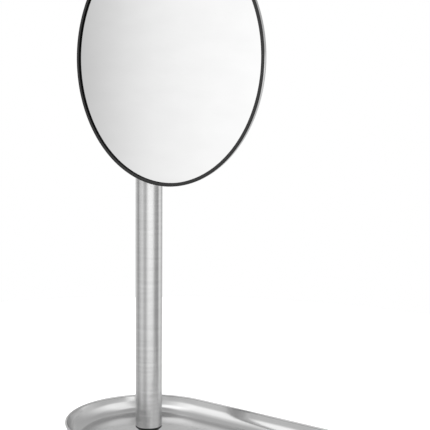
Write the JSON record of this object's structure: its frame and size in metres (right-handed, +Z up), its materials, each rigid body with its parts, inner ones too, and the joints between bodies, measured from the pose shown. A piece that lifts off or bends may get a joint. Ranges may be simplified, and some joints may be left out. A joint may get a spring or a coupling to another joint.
{
  "type": "extendable shaving mirror",
  "caption": "Round tilting mirror on a telescopic column that swivels at one end of a long stainless steel tray.",
  "frame": {"origin": "on the rest face, under the axis of the column", "axes": "+Z up; the tray runs from the column towards -Y; the mirror looks towards -X"},
  "size_m": [0.1264, 0.2564, 0.3801],
  "materials": {
    "stainless": "pressed stainless sheet, satin polished",
    "brushed_tube": "fine circumferential brushing",
    "ballast_steel": "plain zinc plated plate",
    "plated_steel": "bright zinc plate",
    "bare_aluminium": "turned",
    "black_anodised": "black anodised, satin",
    "black_plastic": "moulded, satin gloss",
    "white_nylon": "natural nylon",
    "rubber_pad": "matt",
    "foam_tape": "foam adhesive tape",
    "silvered_glass": "back-silvered float glass"
  },
  "bodies": {
    "base": {"tray": "stainless", "ballast_plate": "ballast_steel", "base_cover": "black_plastic", "non_slip_pad": "rubber_pad", "cover_screws": "plated_steel", "tray_studs": "plated_steel", "stud_nuts": "plated_steel", "swivel_bush": "white_nylon", "flat_washer": "plated_steel", "wave_washer": "plated_steel", "thrust_washer": "black_plastic"},
    "post": {"inner_post": "black_anodised", "post_plug": "plated_steel", "pivot_bolt": "plated_steel", "foot_collar": "black_anodised", "top_bush": "white_nylon", "brake_rings": "rubber_pad", "stop_sleeve": "bare_aluminium"},
    "column": {"outer_tube": "brushed_tube", "end_bush": "black_plastic", "pivot_block": "bare_aluminium", "top_cap": "brushed_tube", "tilt_pin": "plated_steel", "set_screw": "black_anodised", "spacer_sleeve": "brushed_tube", "friction_washers": "white_nylon", "spring_washer": "plated_steel", "thumb_nut": "black_anodised"},
    "head": {"bezel": "black_plastic", "mirror_glass": "silvered_glass", "adhesive_pad": "foam_tape", "carrier_plate": "black_plastic", "back_shell": "brushed_tube", "tilt_lug": "bare_aluminium", "lug_screws": "plated_steel"}
  },
  "joints": [
    {"name": "swivel", "type": "hinge", "parent": "base", "child": "post", "pos_m": [0, 0, 0.0093], "axis": [0, 0, 1], "continuous": true},
    {"name": "extend", "type": "slide", "parent": "post", "child": "column", "axis": [0, 0, 1], "range_m": [0, 0.11]},
    {"name": "tilt", "type": "hinge", "parent": "column", "child": "head", "pos_m": [0, 0, 0.2917], "axis": [0.0698, 0.9976, 0], "range_deg": [-3, 35]}
  ]
}
